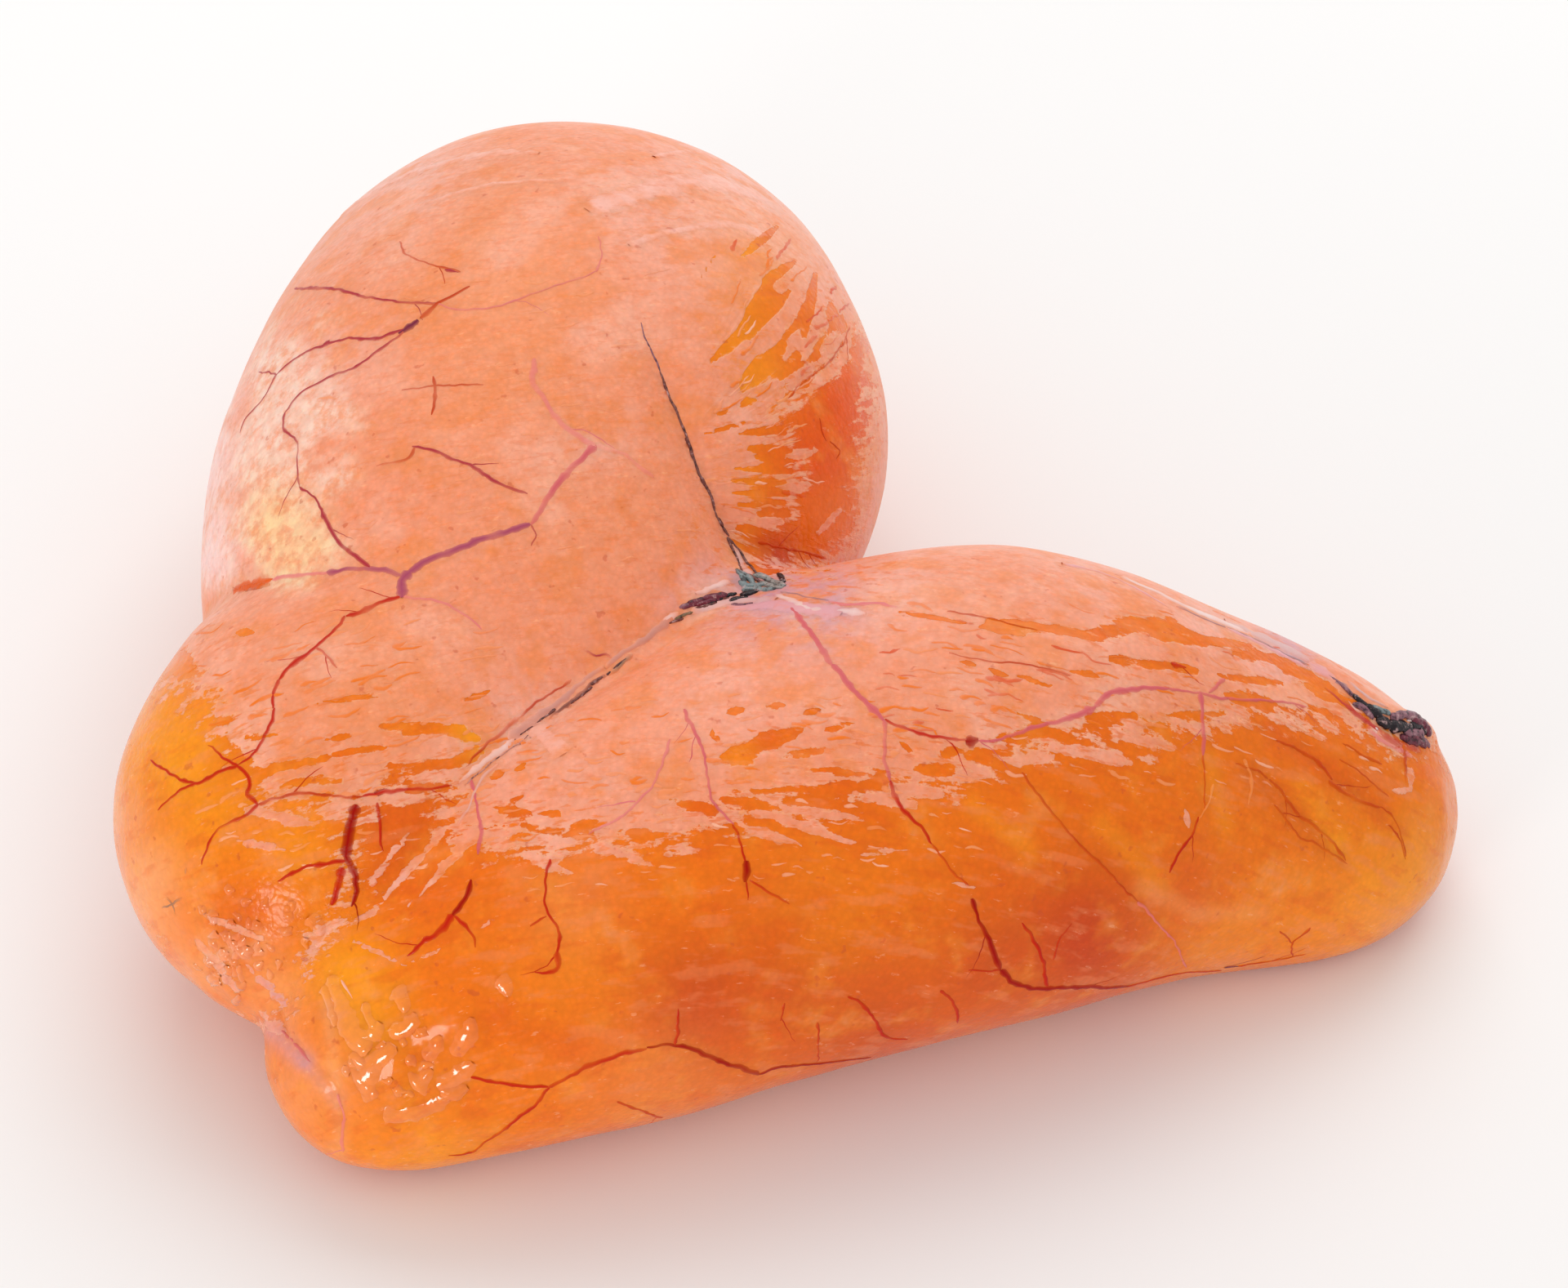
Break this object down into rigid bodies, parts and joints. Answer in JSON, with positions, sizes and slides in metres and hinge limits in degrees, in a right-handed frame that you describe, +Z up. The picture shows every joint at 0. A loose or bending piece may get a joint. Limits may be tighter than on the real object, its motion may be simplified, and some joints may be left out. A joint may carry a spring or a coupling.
{
  "type": "raw cod roe",
  "caption": "Whole raw fish roe: two plump orange egg sacs joined at one end in a vee, resting on their flattened undersides.",
  "frame": {"origin": "on the table, under the middle of the roe's bounding box", "axes": "+X to the right along the right sac, +Y away from the front along the left sac, +Z up"},
  "size_m": [0.1742, 0.1626, 0.0687],
  "materials": {
    "roe_membrane": "wet translucent egg sac, orange with a peach film and fine dark red veins"
  },
  "bodies": {
    "root": {"roe": "roe_membrane"}
  },
  "joints": []
}
